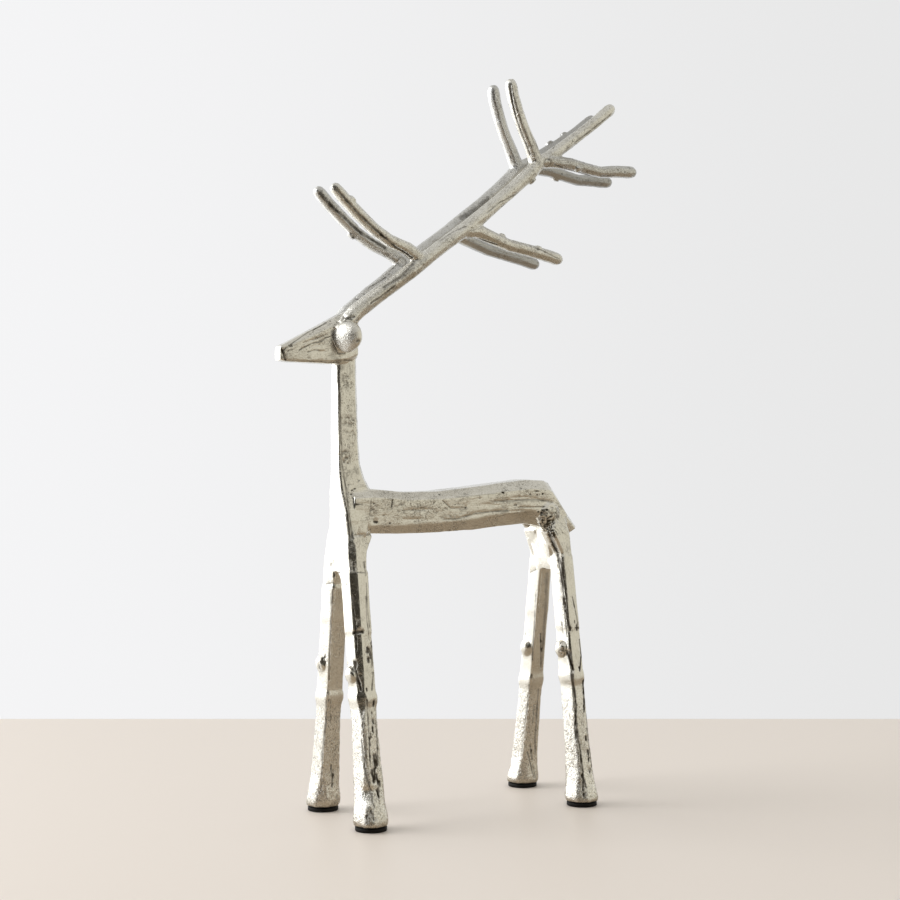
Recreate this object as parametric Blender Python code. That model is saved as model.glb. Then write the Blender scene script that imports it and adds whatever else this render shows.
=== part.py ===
"""Reindeer figurine: a slim reindeer cast in one piece to look as if built of twigs, on four foot pads.

It faces -Y, its left side is +X and +Z is up. The origin is under the middle of its box, on the ground.
"""
import math

import bmesh
import bpy
import numpy as np
from mathutils import Matrix, Vector

# Sizes that can be set by themselves, in metres
HEIGHT = 0.400
FOOT_SPACING = 0.129
FRONT_STANCE = 0.0580
REAR_STANCE = 0.0620
LEG_WIDTH = 0.0108
NECK_WIDTH = 0.0098
NECK_DEPTH = 0.0124
BODY_WIDTH = 0.0226
ANTLER_SPACING = 0.0205
BEAM_DIAMETER = 0.0082
TINE_DIAMETER = 0.0076
EAR_WIDTH = 0.0164
EAR_HEIGHT = 0.0166
EAR_THICKNESS = 0.0094
PAD_DIAMETER = 0.0166
PAD_THICKNESS = 0.0021
PAD_GAP = 0.0003
HOOF_RIM = 0.0004
GROOVE_WIDTH = 0.0017

# The pose is drawn on a figure 400 units tall, so at this height a unit is a millimetre
UNIT = HEIGHT / 400
FRONT_FOOT_Y = -63.8 * UNIT
REAR_FOOT_Y = FRONT_FOOT_Y + FOOT_SPACING
SOLE_HEIGHT = PAD_THICKNESS + PAD_GAP
HOOF_DIAMETER = PAD_DIAMETER + 2 * HOOF_RIM
LEG_TOP = 152 * UNIT
HIP_HALF_SPACING = 0.34 * BODY_WIDTH

# Each leg: how high its ring, burl, step and upper ledge are in units, how far its facets are turned in
# degrees, and how much its near outer corner is planed off as a multiple of the others
LEGS = {
    "front_left": dict(side=1, rear=False, ring=66.5, burl=78.5, step=100, ledge=132, turn=16, near=2.0),
    "front_right": dict(side=-1, rear=False, ring=62.5, burl=80.5, step=104, ledge=123, turn=11, near=0.8),
    "rear_left": dict(side=1, rear=True, ring=69.7, burl=84.5, step=96, ledge=136.5, turn=16, near=0.8),
    "rear_right": dict(side=-1, rear=True, ring=63.0, burl=81.5, step=102, ledge=134.5, turn=11, near=0.8),
}


def clear_scene():
    for obj in list(bpy.data.objects):
        bpy.data.objects.remove(obj, do_unlink=True)


def new_collection(name, helper=False):
    collection = bpy.data.collections.new(name)
    bpy.context.scene.collection.children.link(collection)
    collection.hide_render = helper
    return collection


def material(name, colour, roughness, metallic):
    made = bpy.data.materials.new(name)
    made.use_nodes = True
    shader = made.node_tree.nodes["Principled BSDF"]
    shader.inputs["Base Color"].default_value = (*colour, 1)
    shader.inputs["Roughness"].default_value = roughness
    shader.inputs["Metallic"].default_value = metallic
    made.diffuse_color = (*colour, 1)
    return made


def at(x, y, z):
    """A place in the pose, given in units."""
    return Vector((x, y, z)) * UNIT


def section(centre, width, depth, corners, tilt=0.0):
    """Eight points round a rectangle whose corners are planed off.

    Its width runs along X and its depth runs at tilt above +Y. The corners are the shares of the smaller
    side that are planed off at the near outer, far outer, far inner and near inner corner, as seen along
    the depth.
    """
    along = Vector((0, math.cos(tilt), math.sin(tilt)))
    half_w = width / 2
    half_d = depth / 2
    near_outer, far_outer, far_inner, near_inner = (share * min(width, depth) for share in corners)
    flat = (
        (half_w - near_outer, -half_d),
        (half_w, -half_d + near_outer),
        (half_w, half_d - far_outer),
        (half_w - far_outer, half_d),
        (-half_w + far_inner, half_d),
        (-half_w, half_d - far_inner),
        (-half_w, -half_d + near_inner),
        (-half_w + near_inner, -half_d),
    )
    return [centre + Vector((u, 0, 0)) + v * along for u, v in flat]


def mesh_object(name, bm, collection):
    bmesh.ops.recalc_face_normals(bm, faces=bm.faces)
    if bm.calc_volume(signed=True) < 0:
        bmesh.ops.reverse_faces(bm, faces=bm.faces)
    mesh = bpy.data.meshes.new(name)
    bm.to_mesh(mesh)
    bm.free()
    obj = bpy.data.objects.new(name, mesh)
    collection.objects.link(obj)
    return obj


def loft(name, rings, collection):
    """A closed solid through sections that each have the same number of points."""
    bm = bmesh.new()
    rows = [[bm.verts.new(point) for point in ring] for ring in rings]
    for low, high in zip(rows, rows[1:]):
        for i in range(len(low)):
            j = (i + 1) % len(low)
            bm.faces.new((low[i], low[j], high[j], high[i]))
    bm.faces.new(rows[0])
    bm.faces.new(rows[-1])
    bmesh.ops.triangulate(bm, faces=bm.faces)
    return mesh_object(name, bm, collection)


def curve_to_mesh(curve, collection):
    """The curve's bevelled shape as a closed mesh object of the same name."""
    source = bpy.data.objects.new(curve.name, curve)
    collection.objects.link(source)
    bpy.context.view_layer.update()
    evaluated = source.evaluated_get(bpy.context.evaluated_depsgraph_get())
    mesh = bpy.data.meshes.new_from_object(evaluated)
    place = source.matrix_world.copy()
    bpy.data.objects.remove(source, do_unlink=True)
    bm = bmesh.new()
    bm.from_mesh(mesh)
    bpy.data.meshes.remove(mesh)
    bmesh.ops.remove_doubles(bm, verts=bm.verts, dist=1e-6)
    bmesh.ops.triangulate(bm, faces=bm.faces)
    obj = mesh_object(curve.name, bm, collection)
    obj.matrix_world = place
    return obj


def rod(name, points, diameter, collection, turn=0.0, resolution=2):
    """A faceted round rod through points, each a place and a share of the diameter, made a closed mesh."""
    curve = bpy.data.curves.new(name, "CURVE")
    curve.dimensions = "3D"
    curve.bevel_depth = diameter / 2
    curve.bevel_resolution = resolution
    curve.use_fill_caps = True
    spline = curve.splines.new("POLY")
    spline.points.add(len(points) - 1)
    for target, (place, share) in zip(spline.points, points):
        target.co = (*place, 1)
        target.radius = share
        target.tilt = turn
    return curve_to_mesh(curve, collection)


def blunt(points, diameter):
    """The points with a rounded tip in place of the last one."""
    (before, _), (tip, share) = points[-2], points[-1]
    way = (tip - before).normalized()
    end = share * diameter / 2
    rounding = [(tip - way * end * back, share * wide) for back, wide in ((1.1, 1.0), (0.45, 0.87), (0.0, 0.5))]
    return points[:-1] + rounding


def pebble(name, place, sizes, collection, detail=2, turn=(0, 0, 0)):
    """A rounded lump, such as a burl, a knob or an ear."""
    bm = bmesh.new()
    bmesh.ops.create_icosphere(bm, subdivisions=detail, radius=0.5)
    obj = mesh_object(name, bm, collection)
    for vertex in obj.data.vertices:
        vertex.co = [vertex.co[i] * sizes[i] for i in range(3)]
    obj.rotation_euler = turn
    obj.location = place
    return obj


def leg_axis(leg, z):
    """The place of a leg's centre line at height z: it splays sideways from the hip to the foot."""
    stance = REAR_STANCE if leg["rear"] else FRONT_STANCE
    foot_y = REAR_FOOT_Y if leg["rear"] else FRONT_FOOT_Y
    share = z / LEG_TOP
    x = stance / 2 * (1 - share) + HIP_HALF_SPACING * share
    return Vector((leg["side"] * x, foot_y + (0.6 if leg["rear"] else -1.0) * UNIT * min(share, 1), z))


def leg_rows(leg):
    """Height, width as a share of the leg's, corner, and how far the section reaches forward of the shank.

    A rear leg's thigh flares forward and a front leg has a fillet behind, where they meet the trunk.
    """
    ring = leg["ring"] * UNIT
    step = leg["step"] * UNIT
    ledge = leg["ledge"] * UNIT
    hoof = HOOF_DIAMETER / LEG_WIDTH
    ankle = (17 if leg["rear"] else 21) * UNIT
    flare = (7.0 if leg["rear"] else -6.6) * UNIT
    bend = 0.5 if leg["rear"] else 0.1
    hip = 0.99 if leg["rear"] else 0.84
    return (
        (SOLE_HEIGHT, hoof, 0.29, 0),
        (SOLE_HEIGHT + 0.16 * ankle, hoof * 1.03, 0.29, 0),
        (0.42 * ankle, hoof * 0.97, 0.28, 0),
        (0.72 * ankle, 0.45 * hoof + 0.60, 0.24, 0),
        (1.05 * ankle, 1.15, 0.18, 0),
        (1.7 * ankle, 1.05, 0.15, 0),
        (ring - 0.030 * HEIGHT, 0.97, 0.14, 0),
        (ring - 0.011 * HEIGHT, 0.99, 0.14, 0),
        (ring - 0.004 * HEIGHT, 1.13, 0.17, 0),
        (ring + 0.004 * HEIGHT, 1.15, 0.17, 0),
        (ring + 0.010 * HEIGHT, 1.02, 0.14, 0),
        (step - 0.002 * HEIGHT, 0.99, 0.14, 0),
        (step + 0.001 * HEIGHT, 1.04, 0.15, 0),
        (0.5 * (step + ledge), 1.03, 0.15, 0),
        (ledge - 0.002 * HEIGHT, 1.07, 0.15, 0),
        (ledge + 0.002 * HEIGHT, 0.97, 0.14, 0),
        (0.5 * (ledge + LEG_TOP), 1.0, 0.15, bend * flare),
        (LEG_TOP - 0.006 * HEIGHT, hip, 0.14, flare),
        (LEG_TOP + 0.020 * HEIGHT, 0.58, 0.20, 0.5 * flare),
    )


def leg_rings(leg):
    """Level sections from the sole to the hip: flared hoof, ankle, shank, ring and a thigh with ledges."""
    rings = []
    turn = Matrix.Rotation(math.radians(leg["turn"]), 3, "Z")
    for z, share, corner, forward in leg_rows(leg):
        width = share * LEG_WIDTH
        far = corner + 0.2 * (z / LEG_TOP) ** 4 if leg["rear"] else 0.5 * corner
        planed = (corner,) * 4 if share > 1.3 else (leg["near"] * corner, far, 0.8 * corner, 0.8 * corner)
        flat = section(Vector((0, -forward / 2, 0)), width, 0.98 * width + abs(forward), planed)
        rings.append([leg_axis(leg, z) + turn @ point for point in flat])
    return rings


def leg_pieces(name, leg, collection):
    made = [loft(f"{name}_leg", leg_rings(leg), collection)]
    place = leg_axis(leg, leg["burl"] * UNIT) - Vector((0.04 * LEG_WIDTH, 0.47 * LEG_WIDTH, 0))
    sizes = (0.84 * LEG_WIDTH, 0.60 * LEG_WIDTH, 0.96 * LEG_WIDTH)
    made.append(pebble(f"{name}_burl", place, sizes, collection, 2, (math.radians(12), 0, 0.1)))
    return made


def neck_pieces(collection):
    """The upright of neck and chest, whose front runs straight down into the front legs.

    A web fills the crotch below it, and reaches further down the left leg than down the right one.
    """
    rows = (
        (257, 0.84, -65.2, 0.96, 0.20, 0.22),
        (242, 0.84, -65.2, 0.96, 0.20, 0.22),
        (226, 0.94, -65.0, 0.98, 0.10, 0.22),
        (200, 1.00, -64.6, 1.02, 0.08, 0.20),
        (188, 1.04, -64.0, 1.10, 0.08, 0.20),
        (180, 1.26, -62.8, 1.28, 0.08, 0.20),
        (174, 1.52, -61.2, 1.52, 0.08, 0.18),
        (162, 2.14, -61.9, 1.16, 0.10, 0.12),
        (151.5, 2.40, -62.6, 1.01, 0.12, 0.12),
        (149.5, 2.30, -62.8, 0.95, 0.14, 0.14),
        (140, 2.30, -63.2, 0.87, 0.14, 0.14),
        (131, 1.70, -64.4, 0.74, 0.14, 0.14),
    )
    rings = []
    for z, wide, y, deep, front, rear in rows:
        rings.append(section(at(0, y, z), wide * NECK_WIDTH, deep * NECK_DEPTH, (front, rear, rear, front)))
    web = []
    for z, x, width, depth in ((134, 1.0, 13.0, 7.6), (128, 4.6, 7.6, 7.2), (118, 9.6, 4.4, 6.4)):
        web.append(section(at(x, -64.8, z), width * UNIT, depth * UNIT, (0.14,) * 4))
    return [loft("neck", rings, collection), loft("crotch_web", web, collection)]


# Sections of the trunk: share of the way from front feet to rear feet, lowest and highest point in units,
# width as a share of the body's, lower and upper corners
TRUNK = (
    (0.00, 151.4, 174.4, 0.90, 0.17, 0.22),
    (0.10, 150.8, 174.6, 0.97, 0.18, 0.20),
    (0.24, 150.6, 172.8, 1.00, 0.19, 0.19),
    (0.40, 150.6, 173.0, 1.00, 0.22, 0.19),
    (0.58, 151.6, 175.2, 1.00, 0.26, 0.20),
    (0.72, 153.2, 177.2, 1.02, 0.31, 0.21),
    (0.84, 154.2, 178.8, 1.02, 0.33, 0.22),
    (0.93, 152.4, 178.2, 1.00, 0.28, 0.24),
    (0.955, 151.6, 176.8, 0.98, 0.26, 0.25),
    (0.98, 151.0, 172.8, 0.95, 0.24, 0.26),
    (1.035, 149.4, 162.2, 0.84, 0.22, 0.26),
)
# Sections of the tail, leaning: share, height and depth in units, width as a share of the body's
TAIL = (
    (0.92, 165.4, 16.0, 0.66),
    (0.998, 158.6, 13.0, 0.62),
    (1.05, 153.4, 10.0, 0.54),
    (1.085, 149.5, 7.6, 0.46),
)
# Sections of the web between the thighs: height in units, share, width and depth in units
REAR_WEB = (
    (155.0, 0.965, 22.0, 12.4),
    (144.0, 0.975, 20.0, 10.4),
    (136.0, 0.983, 17.6, 8.6),
    (130.5, 0.990, 15.0, 7.2),
    (127.8, 0.993, 11.6, 5.6),
)
# Sections of the head in units: place fore and aft, lowest and highest point, width; then its corners
HEAD = (
    (-103.4, 241.4, 248.8, 7.4, 0.12, 0.12),
    (-99.0, 240.8, 251.0, 8.8, 0.10, 0.18),
    (-88.0, 240.6, 256.6, 11.2, 0.09, 0.26),
    (-76.0, 240.2, 263.0, 12.6, 0.12, 0.28),
    (-66.0, 241.0, 268.2, 12.4, 0.16, 0.24),
    (-59.2, 243.5, 268.4, 10.4, 0.20, 0.26),
)


# The ears: their place fore and aft in units, and how far they are turned out to the side
EAR_Y = -68.6
EAR_TURN = math.radians(33)


def ear_front():
    """The foremost point of the ears."""
    return EAR_Y * UNIT - math.hypot(EAR_WIDTH * math.sin(EAR_TURN), EAR_THICKNESS * math.cos(EAR_TURN)) / 2


def body_y(share):
    """How far back a share of the way from front feet to rear feet is."""
    return FRONT_FOOT_Y + share * FOOT_SPACING


def body_pieces(collection):
    """The trunk, a planed log, with a knot at each hip, the rump that drops to the tail and the rear web."""
    rings = []
    for share, low, high, wide, lower, upper in TRUNK:
        width = wide * BODY_WIDTH
        depth = (high - low) * UNIT
        centre = Vector((0, body_y(share), (low + high) / 2 * UNIT))
        rings.append(section(centre, width, depth, (lower, upper, upper, lower), math.radians(90)))
    tail_tilt = math.radians(32)
    tail = []
    for share, z, deep, wide in TAIL:
        centre = Vector((0, body_y(share), z * UNIT))
        tail.append(section(centre, wide * BODY_WIDTH, deep * UNIT, (0.22,) * 4, tail_tilt))
    web = []
    for z, share, width, depth in REAR_WEB:
        web.append(section(Vector((0, body_y(share), z * UNIT)), width * UNIT, depth * UNIT, (0.14,) * 4))
    made = [loft("trunk", rings, collection), loft("tail", tail, collection)]
    made.append(loft("rear_web", web, collection))
    for side in (1, -1):
        place = Vector((side * 0.42 * BODY_WIDTH, body_y(0.935), 158.5 * UNIT))
        sizes = (0.36 * BODY_WIDTH, 15 * UNIT, 17 * UNIT)
        made.append(pebble(f"hip_knot_{side}", place, sizes, collection, 2, (0, side * 0.12, 0)))
    return made


def head_pieces(collection):
    """The wedge-shaped head, level below and rising to the antlers, with an ear on each side."""
    rings = []
    for y, low, high, width, lower, upper in HEAD:
        depth = (high - low) * UNIT
        corners = (lower, upper, upper, lower)
        rings.append(section(at(0, y, (low + high) / 2), width * UNIT, depth, corners, math.radians(90)))
    made = [loft("head", rings, collection)]
    for side in (1, -1):
        turn = (math.radians(-6), 0, side * EAR_TURN)
        place = at(0, EAR_Y, 254.2) + Vector((side * (5 * UNIT + 0.42 * EAR_WIDTH), 0, 0))
        made.append(pebble(f"ear_{side}", place, (EAR_WIDTH, EAR_THICKNESS, EAR_HEIGHT), collection, 3, turn))
    return made


# Each line of an antler: share of half the spacing, then place fore and aft and height in units, then
# the share of its diameter
BEAM = (
    (0.56, -71.0, 256.5, 1.10),
    (0.50, -60.6, 267.8, 1.18),
    (0.60, -49.0, 276.8, 1.14),
    (0.78, -38.6, 284.4, 1.10),
    (0.94, -30.0, 291.0, 1.12),
    (1.00, -21.0, 298.0, 1.06),
    (1.00, -9.0, 306.8, 1.00),
    (1.00, 3.0, 315.2, 1.04),
    (1.00, 12.0, 321.8, 1.08),
    (1.00, 24.0, 331.6, 0.98),
    (1.00, 36.0, 341.4, 1.00),
    (1.00, 45.0, 349.4, 1.06),
    (1.00, 51.0, 356.0, 1.00),
)
TINES = {
    "brow": (
        (0.97, -22.0, 295.5, 1.08),
        (0.98, -33.0, 302.4, 1.02),
        (0.98, -43.5, 306.0, 0.96),
        (0.97, -52.5, 311.4, 0.96),
        (0.96, -61.0, 318.4, 0.97),
        (0.95, -69.4, 325.8, 0.94),
        (0.94, -76.8, 333.2, 0.92),
    ),
    "top": (
        (0.97, 49.0, 354.0, 1.12),
        (1.00, 45.0, 363.6, 1.02),
        (0.99, 40.2, 373.0, 0.95),
        (0.98, 36.4, 382.0, 0.95),
        (0.97, 33.4, 391.0, 0.96),
        (0.96, 31.8, 399.6, 0.96),
    ),
    "rear_up": (
        (0.97, 47.0, 353.4, 1.10),
        (0.96, 57.0, 358.6, 1.02),
        (0.92, 66.0, 364.8, 0.97),
        (0.88, 77.0, 372.4, 0.92),
        (0.86, 88.0, 380.6, 0.92),
        (0.84, 101.6, 391.6, 0.96),
    ),
    "rear": (
        (0.97, 47.0, 355.6, 1.08),
        (1.02, 60.0, 356.2, 1.02),
        (1.04, 71.0, 355.8, 0.98),
        (1.05, 81.0, 354.2, 0.92),
        (1.06, 91.0, 353.0, 0.90),
        (1.07, 103.0, 354.2, 0.96),
        (1.08, 115.6, 354.8, 0.98),
    ),
    "lower": (
        (0.97, 0.0, 313.8, 1.14),
        (1.02, 10.0, 314.6, 1.14),
        (1.06, 19.0, 311.4, 1.00),
        (1.08, 30.0, 307.8, 0.95),
        (1.11, 42.0, 305.8, 0.94),
        (1.13, 53.0, 303.8, 0.97),
        (1.15, 64.4, 301.2, 0.98),
    ),
}
# How far each tip of the right antler lies back and up from its fellow on the left, in units
RIGHT_TIPS = {
    "brow": (-0.5, 0.8),
    "top": (0.6, 0.4),
    "rear_up": (-1.0, -3.6),
    "rear": (-1.6, -3.0),
    "lower": (-0.4, -0.6),
}
# How far the facets of the left and the right beam are turned, and those of a tine against its beam
BEAM_TURN = {1: math.radians(3), -1: math.radians(-11)}
TINE_TURN = math.radians(14)
# Knobs on the twigs of each side: share of half the spacing, place, and size as a share of the tine's
# diameter
KNOBS = {
    1: (
        (1.15, 45.8, 343.6, 0.70),
        (1.12, -65.4, 326.6, 0.62),
        (1.36, 74.4, 352.4, 0.60),
        (1.06, 26.0, 313.2, 0.62),
        (1.22, 48.6, 307.4, 0.62),
        (1.30, 56.2, 356.4, 0.66),
    ),
    -1: (
        (1.00, -56.6, 309.2, 0.74),
        (1.12, 75.3, 349.6, 0.68),
        (1.08, 46.2, 304.6, 0.64),
        (0.98, 69.6, 371.6, 0.70),
        (0.92, 79.4, 377.0, 0.62),
    ),
}


def antler_path(rows, side, tip=(0.0, 0.0)):
    """The places and shares of an antler's rod, bent so that its last place moves by tip, in units."""
    points = []
    for i, (share, y, z, wide) in enumerate(rows):
        bend = (i / (len(rows) - 1)) ** 1.5
        x = side * share * ANTLER_SPACING / 2
        points.append((Vector((x, (y + bend * tip[0]) * UNIT, (z + bend * tip[1]) * UNIT)), wide))
    return points


def antler_pieces(collection):
    made = []
    for side in (1, -1):
        made.append(rod(f"beam_{side}", antler_path(BEAM, side), BEAM_DIAMETER, collection, BEAM_TURN[side]))
        for name, rows in TINES.items():
            tip = (0.0, 0.0) if side == 1 else RIGHT_TIPS[name]
            points = blunt(antler_path(rows, side, tip), TINE_DIAMETER)
            turn = BEAM_TURN[side] + side * TINE_TURN
            made.append(rod(f"{name}_{side}", points, TINE_DIAMETER, collection, turn))
        for i, (share, y, z, size) in enumerate(KNOBS[side]):
            place = Vector((side * share * ANTLER_SPACING / 2, y * UNIT, z * UNIT))
            made.append(pebble(f"knob_{side}_{i}", place, (size * TINE_DIAMETER,) * 3, collection, 1))
    return made


# Grooves carved along each flank of the trunk: share of the way from front feet to rear feet and height in
# units, at both ends
FLANK_GROOVES = (
    (0.20, 163.2, 0.42, 162.6),
    (0.14, 158.0, 0.42, 157.4),
    (0.46, 158.0, 0.64, 160.4),
    (0.52, 165.0, 0.74, 164.4),
    (0.68, 168.4, 0.93, 168.6),
    (0.68, 160.6, 0.88, 161.6),
)
# Grooves fanning over each cheek: share of the way from the muzzle to the front of the ear and height in
# units, at both ends
CHEEK_GROOVES = (
    (0.20, 247.6, 0.94, 255.4),
    (0.40, 246.8, 0.96, 251.2),
    (0.62, 245.0, 0.97, 246.8),
)


def width_at(rows, place):
    """The width in a table of sections, whose first column is the place and whose fourth is the width."""
    return float(np.interp(place, [row[0] for row in rows], [row[3] for row in rows]))


def groove_line(first, low, last, high, share, on_head):
    """The place of a groove at a share of its length, on the right or left surface that it is cut into."""
    place = first + share * (last - first)
    z = (low + share * (high - low)) * UNIT
    if on_head:
        y = HEAD[0][0] * UNIT + place * (ear_front() - HEAD[0][0] * UNIT)
        return Vector((width_at(HEAD, y / UNIT) / 2 * UNIT, y, z))
    return Vector((width_at(TRUNK, place) / 2 * BODY_WIDTH, body_y(place), z))


def groove_cutter(side, collection):
    """All the grooves of one side as one cutter: slim rods along the surface that taper off at both ends."""
    curve = bpy.data.curves.new(f"grooves_{side}", "CURVE")
    curve.dimensions = "3D"
    curve.bevel_depth = GROOVE_WIDTH / 2
    curve.bevel_resolution = 0
    curve.use_fill_caps = True
    shares = (0.0, 0.15, 0.5, 0.85, 1.0)
    grooves = [(groove, False) for groove in FLANK_GROOVES] + [(groove, True) for groove in CHEEK_GROOVES]
    for groove, on_head in grooves:
        spline = curve.splines.new("POLY")
        spline.points.add(len(shares) - 1)
        for point, share in zip(spline.points, shares):
            swell = math.sin(math.pi * share)
            x, y, z = groove_line(*groove, share, on_head)
            x += (0.20 - 0.08 * swell) * GROOVE_WIDTH
            point.co = (side * x, y, z + 0.35 * GROOVE_WIDTH * swell, 1)
            point.radius = 0.3 + 0.7 * swell
    return curve_to_mesh(curve, collection)


def combine(casting, piece, operation):
    """Unites a helper shape with the casting, or cuts it out, and hides the helper."""
    piece.display_type = "WIRE"
    piece.hide_render = True
    change = casting.modifiers.new(f"{operation.lower()} {piece.name}", "BOOLEAN")
    change.operation = operation
    change.solver = "EXACT"
    change.object = piece


def cast(name, pieces, cutters, collection, finish):
    """One solid of all the pieces, which overlap where they meet, less the cutters."""
    base = pieces[0]
    casting = bpy.data.objects.new(name, base.data)
    collection.objects.link(casting)
    bpy.data.objects.remove(base, do_unlink=True)
    for piece in pieces[1:]:
        combine(casting, piece, "UNION")
    for cutter in cutters:
        combine(casting, cutter, "DIFFERENCE")
    casting.data.materials.append(finish)
    return casting


def foot_pad(name, leg, collection, finish):
    bm = bmesh.new()
    bmesh.ops.create_cone(
        bm, cap_ends=True, segments=32, radius1=PAD_DIAMETER / 2, radius2=PAD_DIAMETER / 2, depth=PAD_THICKNESS
    )
    pad = mesh_object(name, bm, collection)
    sole = leg_axis(leg, SOLE_HEIGHT)
    pad.location = (sole.x, sole.y, PAD_THICKNESS / 2)
    pad.data.materials.append(finish)
    pad.data.shade_smooth()
    pad.data.set_sharp_from_angle(angle=math.radians(40))
    return pad


def main():
    clear_scene()
    parts = new_collection("reindeer_figurine")
    helpers = new_collection("joined_shapes", helper=True)
    metal = material("champagne_aluminium", (0.68, 0.66, 0.60), 0.32, 1.0)
    rubber = material("black_rubber", (0.02, 0.02, 0.02), 0.85, 0.0)
    pieces = body_pieces(helpers) + neck_pieces(helpers)
    for name, leg in LEGS.items():
        pieces += leg_pieces(name, leg, helpers)
    pieces += head_pieces(helpers) + antler_pieces(helpers)
    cutters = [groove_cutter(side, helpers) for side in (1, -1)]
    casting = cast("reindeer_casting", pieces, cutters, parts, metal)
    pads = [foot_pad(f"pad_{name}", leg, parts, rubber) for name, leg in LEGS.items()]
    bpy.context.view_layer.update()
    shape = casting.evaluated_get(bpy.context.evaluated_depsgraph_get()).to_mesh()
    middle = [(min(v.co[i] for v in shape.vertices) + max(v.co[i] for v in shape.vertices)) / 2 for i in range(2)]
    origin = bpy.data.objects.new("reindeer", None)
    parts.objects.link(origin)
    for obj in (casting, *pads, *pieces[1:], *cutters):
        obj.parent = origin
    origin.location = (-middle[0], -middle[1], 0)


main()
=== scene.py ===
"""Looks of the reindeer figurine: its cast skin with grain, pits and sheen, on a pale table."""
import math

import bpy
import numpy as np
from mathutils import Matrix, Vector


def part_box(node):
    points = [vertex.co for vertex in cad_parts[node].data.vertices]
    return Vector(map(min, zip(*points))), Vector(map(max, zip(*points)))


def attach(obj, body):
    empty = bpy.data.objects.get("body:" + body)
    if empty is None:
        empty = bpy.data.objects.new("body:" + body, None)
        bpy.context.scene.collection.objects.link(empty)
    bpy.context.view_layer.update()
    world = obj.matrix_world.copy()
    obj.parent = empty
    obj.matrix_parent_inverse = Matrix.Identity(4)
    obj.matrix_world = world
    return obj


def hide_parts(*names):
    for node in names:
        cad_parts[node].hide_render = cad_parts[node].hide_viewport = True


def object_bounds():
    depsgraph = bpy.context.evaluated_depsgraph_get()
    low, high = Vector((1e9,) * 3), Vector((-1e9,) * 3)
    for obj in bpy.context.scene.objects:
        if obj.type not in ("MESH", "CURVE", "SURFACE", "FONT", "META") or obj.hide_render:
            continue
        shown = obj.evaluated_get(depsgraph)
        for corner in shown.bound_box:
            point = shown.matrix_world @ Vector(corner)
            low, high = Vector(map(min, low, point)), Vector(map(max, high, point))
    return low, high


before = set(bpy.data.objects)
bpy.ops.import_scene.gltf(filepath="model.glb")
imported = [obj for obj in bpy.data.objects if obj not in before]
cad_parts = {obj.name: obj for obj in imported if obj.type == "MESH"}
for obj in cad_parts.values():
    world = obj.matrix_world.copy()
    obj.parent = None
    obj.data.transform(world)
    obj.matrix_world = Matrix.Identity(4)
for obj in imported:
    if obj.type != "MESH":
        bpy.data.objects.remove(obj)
CAD_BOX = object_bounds()
BOX = np.array(CAD_BOX[0]), np.array(CAD_BOX[1])

MM = 0.001
PADS = ("pad_front_left", "pad_front_right", "pad_rear_left", "pad_rear_right")


def middle(node):
    low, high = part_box(node)
    return (low + high) / 2


# The point on the ground between the four feet, from which the figure's own places are counted
# in mm: x to its left side, y to its rear and z up
FEET = sum((middle(name) for name in PADS), Vector()) / 4
FEET.z = 0
ORIGIN = np.array(FEET)

# The camera as the photograph was taken: level, so many mm from the feet and above the table
TURN = math.radians(29.7)
CAMERA_AWAY, CAMERA_RIGHT, CAMERA_HEIGHT = 924.8, -1.3, 195.2
LENS, SENSOR = 67.6, 36
AWAY = Vector((math.cos(TURN), -math.sin(TURN), 0))
RIGHT = Vector((math.sin(TURN), math.cos(TURN), 0))

VOXEL = 0.42 * MM  # the spacing of the fine mesh before it is thinned
TRIANGLES = 194000  # how many triangles the casting keeps

# The limbs: the start and end of each centre line, half its width, and how rough it was cast
LIMBS = [
    ((0, -60, 163), (0, 66, 166), 11.5, 1.0),
    ((0, 66, 164), (0, 78, 150), 6.0, 0.6),
    ((0, -65, 150), (0, -65, 250), 5.5, 0.9),
    ((0, -62, 254), (0, -104, 245), 6.5, 0.7),
]
for side in (1, -1):
    LIMBS += [
        ((29 * side, -64.5, 0), (7.7 * side, -65.5, 152), 5.4, 0.9),
        ((31 * side, 64.5, 0), (7.7 * side, 65.1, 152), 5.4, 0.8),
        ((5 * side, -70, 259), (10.2 * side, -26, 293), 4.2, 0.9),
        ((10.2 * side, -26, 293), (10.2 * side, 50, 355), 4.2, 0.8),
        ((10 * side, -22, 296), (9.9 * side, -48, 308), 3.7, 0.9),
        ((9.9 * side, -48, 308), (9.7 * side, -78, 333), 3.7, 0.9),
        ((10.2 * side, 49, 353), (9.9 * side, 35, 381), 3.7, 1.0),
        ((9.9 * side, 35, 381), (9.8 * side, 31, 400), 3.7, 1.0),
        ((10 * side, 46, 353), (8.6 * side, 101, 391), 3.7, 0.8),
        ((10.3 * side, 46, 355), (11 * side, 115, 354), 3.7, 0.9),
        ((10.2 * side, 0, 313.5), (11.6 * side, 64, 301), 3.7, 0.9),
    ]
# The middle of each ear, whose front is left as frosty as it was cast
EARS = [(side * 12.6, -71.0, 253.6) for side in (1, -1)]

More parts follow.
